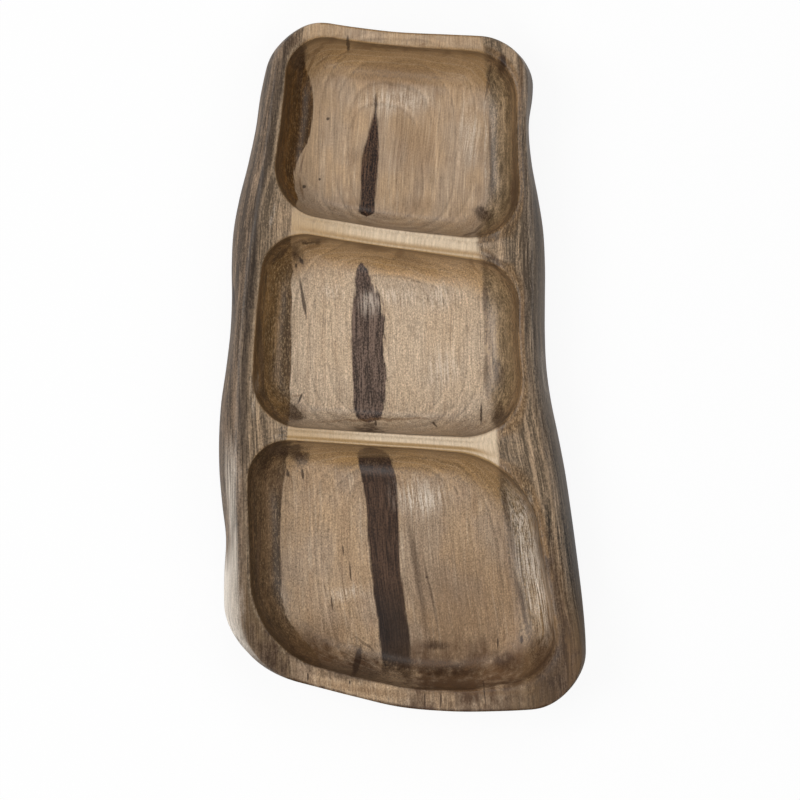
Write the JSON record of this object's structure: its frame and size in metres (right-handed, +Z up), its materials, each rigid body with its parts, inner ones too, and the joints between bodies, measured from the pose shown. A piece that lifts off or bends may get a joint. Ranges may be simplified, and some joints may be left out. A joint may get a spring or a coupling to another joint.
{
  "type": "wooden snack dish",
  "caption": "Long freeform dish carved from one piece of wood, with a row of rounded hollows parted by narrow walls, on small rubber bumpers.",
  "frame": {"origin": "on the table, under the middle of the dish's outline", "axes": "+Z up, +Y along the dish to its narrow rear end, +X to the right when seen from the wide front end"},
  "size_m": [0.2169, 0.4, 0.045],
  "materials": {
    "wood": "oiled, satin, with pale and dark figure",
    "bumper": "matt"
  },
  "bodies": {
    "root": {"dish_body": "wood", "foot_pad_front_left": "bumper", "foot_pad_front_right": "bumper", "foot_pad_rear_left": "bumper", "foot_pad_rear_right": "bumper"}
  },
  "joints": []
}
